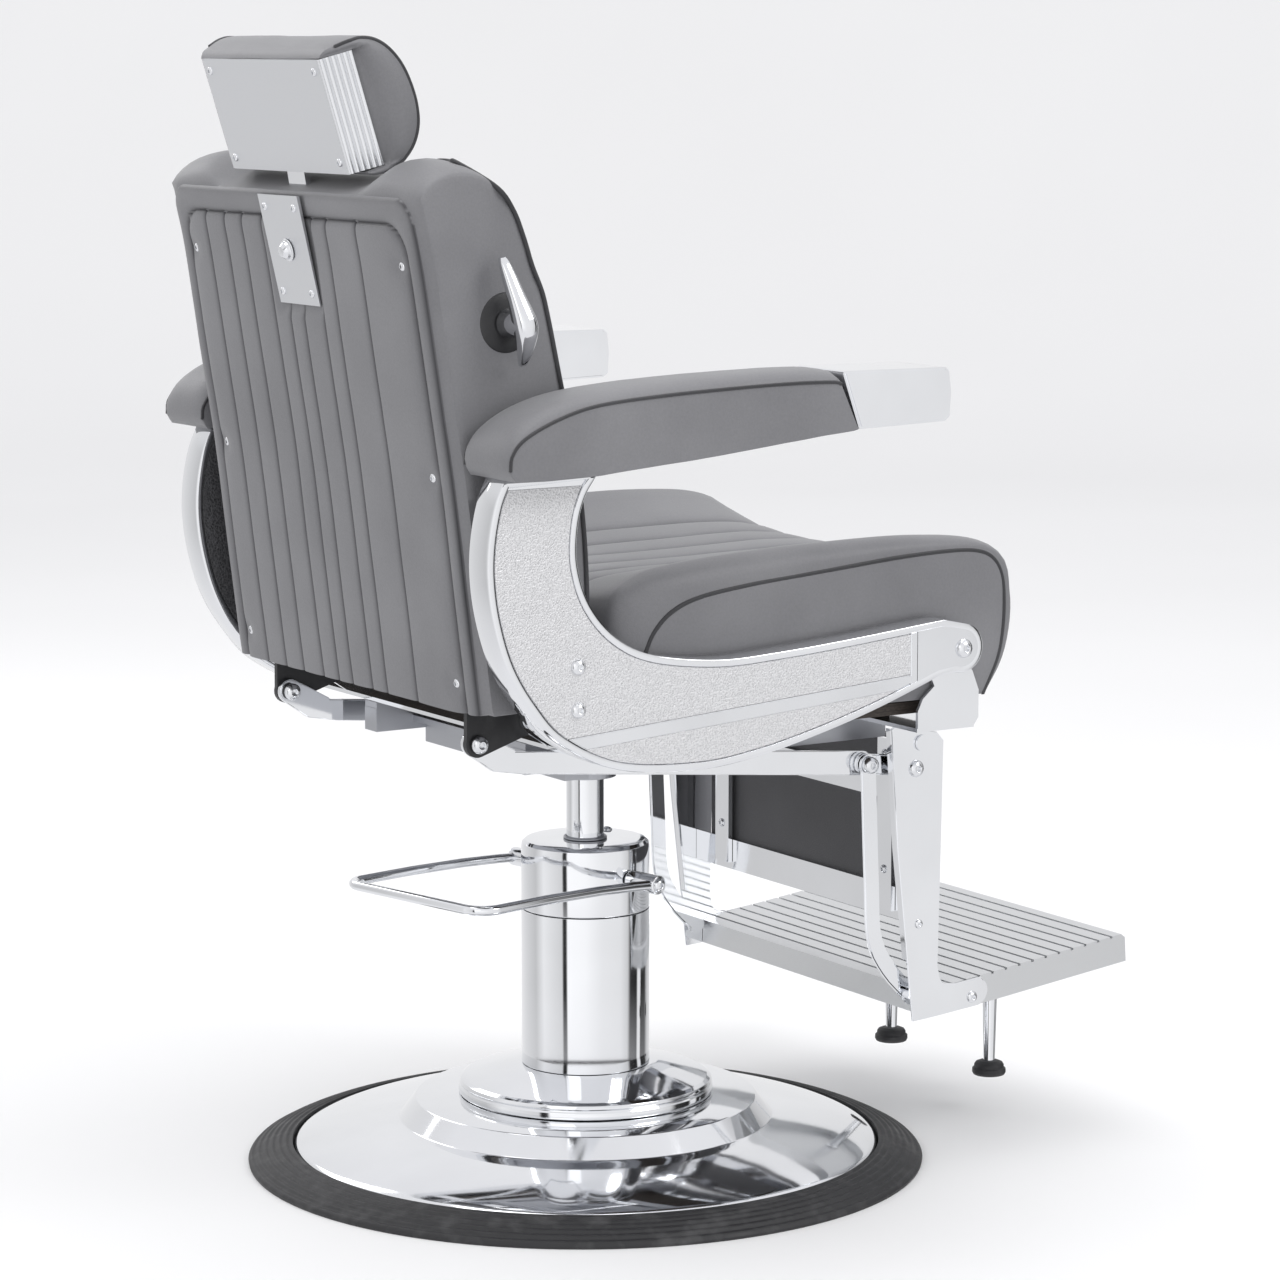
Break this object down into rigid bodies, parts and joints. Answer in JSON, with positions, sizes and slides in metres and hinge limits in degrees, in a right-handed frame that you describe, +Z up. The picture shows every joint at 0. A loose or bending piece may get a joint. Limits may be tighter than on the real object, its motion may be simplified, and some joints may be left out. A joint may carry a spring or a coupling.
{
  "type": "hydraulic barber chair",
  "caption": "Barber chair on a round chrome pump base; seat lifts and swivels, the back reclines and swings the legrest out, with arms, footrest and adjustable headrest.",
  "frame": {"origin": "on the floor at the pump's axis, on the flat underside of the base plate", "axes": "+Z up; the chair faces -Y at rest; the sitter's right is -X"},
  "size_m": [0.714, 0.9083, 1.1534],
  "materials": {
    "chrome": "mirror polished",
    "black_rubber": "matt moulded",
    "zinc_steel": "bright zinc",
    "black_steel": "satin black",
    "textured_black": "black texture coat",
    "satin_aluminium": "satin brushed",
    "plywood": "bare birch ply",
    "grey_leatherette": "fine-grained grey leatherette",
    "charcoal_backing": "charcoal backing sheet"
  },
  "bodies": {
    "base": {"rubber_base_ring": "black_rubber", "base_plate": "zinc_steel", "base_dome": "chrome", "flange_cover": "chrome", "pump_cover": "chrome", "pump_head": "chrome", "pump_cylinder": "zinc_steel", "gland_ring": "chrome", "pump_valve_block": "zinc_steel"},
    "pedal": {"pedal_bar": "chrome", "pedal_pin_right": "zinc_steel", "pedal_pin_left": "zinc_steel"},
    "plunger": {"pump_plunger": "zinc_steel", "plunger_spring": "zinc_steel"},
    "lift": {"ram": "chrome"},
    "seat": {"swivel_socket": "zinc_steel", "seat_frame": "zinc_steel", "front_seat_bracket": "chrome", "rear_seat_bracket": "chrome", "seat_board": "plywood", "seat_cushion": "grey_leatherette", "arm_frame_right": "chrome", "arm_frame_left": "chrome", "arm_inner_panel_right": "textured_black", "arm_inner_panel_left": "textured_black", "arm_pad_right": "grey_leatherette", "arm_pad_left": "grey_leatherette", "arm_tip_right": "chrome", "arm_tip_left": "chrome", "back_hinge_pin_right": "zinc_steel", "back_hinge_pin_left": "zinc_steel", "legrest_pivot_pin_right": "chrome", "legrest_pivot_pin_left": "chrome"},
    "back": {"back_frame": "black_steel", "back_cushion": "grey_leatherette", "back_panel": "grey_leatherette", "headrest_bracket": "satin_aluminium", "headrest_lock_bolt": "chrome", "handle_escutcheon": "black_steel"},
    "handle": {"recline_handle": "chrome"},
    "post": {"headrest_post": "chrome"},
    "headrest": {"headrest_plate": "satin_aluminium", "headrest_side_right": "satin_aluminium", "headrest_side_left": "satin_aluminium", "headrest_cushion": "grey_leatherette"},
    "rails": {"push_rail_right": "chrome", "push_rail_left": "chrome"},
    "legrest": {"calf_hanger": "chrome", "calf_bottom_bar": "chrome", "calf_board": "charcoal_backing", "calf_cushion": "grey_leatherette", "footplate": "satin_aluminium", "legrest_side_right": "chrome", "legrest_side_left": "chrome", "crank_lever_right": "black_steel", "crank_lever_left": "black_steel", "legrest_brace_right": "chrome", "legrest_brace_left": "chrome", "support_foot_right": "black_rubber", "support_foot_left": "black_rubber"}
  },
  "joints": [
    {"name": "pedal_stroke", "type": "hinge", "parent": "base", "child": "pedal", "pos_m": [0, 0, 0.3], "axis": [-0.977, -0.213, 0], "range_deg": [0, 22], "stiffness_Nm_per_rad": 2, "springref_deg": -34.38},
    {"name": "plunger_stroke", "type": "slide", "parent": "base", "child": "plunger", "axis": [0, 0, -1], "range_m": [0, 0.0045], "deforming": ["plunger_spring"]},
    {"name": "lift", "type": "slide", "parent": "base", "child": "lift", "axis": [0, 0, 1], "range_m": [-0.035, 0.12]},
    {"name": "swivel", "type": "hinge", "parent": "lift", "child": "seat", "pos_m": [0, 0, 0.43], "axis": [0, 0, 1], "continuous": true},
    {"name": "recline", "type": "hinge", "parent": "seat", "child": "back", "pos_m": [0, 0.1836, 0.5012], "axis": [-1, 0, 0], "range_deg": [0, 50]},
    {"name": "handle_turn", "type": "hinge", "parent": "back", "child": "handle", "pos_m": [-0.28, 0.244, 0.888], "axis": [1, 0, 0], "range_deg": [-25, 25], "stiffness_Nm_per_rad": 0.5},
    {"name": "headrest_height", "type": "slide", "parent": "back", "child": "post", "axis": [0, 0.1724, 0.985], "range_m": [0, 0.09]},
    {"name": "headrest_tilt", "type": "hinge", "parent": "post", "child": "headrest", "pos_m": [0, 0.3194, 1.0383], "axis": [-1, 0, 0], "range_deg": [-12, 12]},
    {"name": "rail_turn", "type": "hinge", "parent": "back", "child": "rails", "pos_m": [0, 0.2416, 0.4822], "axis": [-1, 0, 0], "range_deg": [-50, 0]},
    {"name": "legrest_swing", "type": "hinge", "parent": "seat", "child": "legrest", "pos_m": [0, -0.27, 0.44], "axis": [-1, 0, 0], "range_deg": [0, 50]}
  ],
  "couplings": [
    {"joint": "plunger_stroke", "follows": "pedal_stroke", "m_per_rad": 0.0098},
    {"joint": "rail_turn", "follows": "recline", "ratio": -1},
    {"joint": "legrest_swing", "follows": "recline", "ratio": 1}
  ]
}
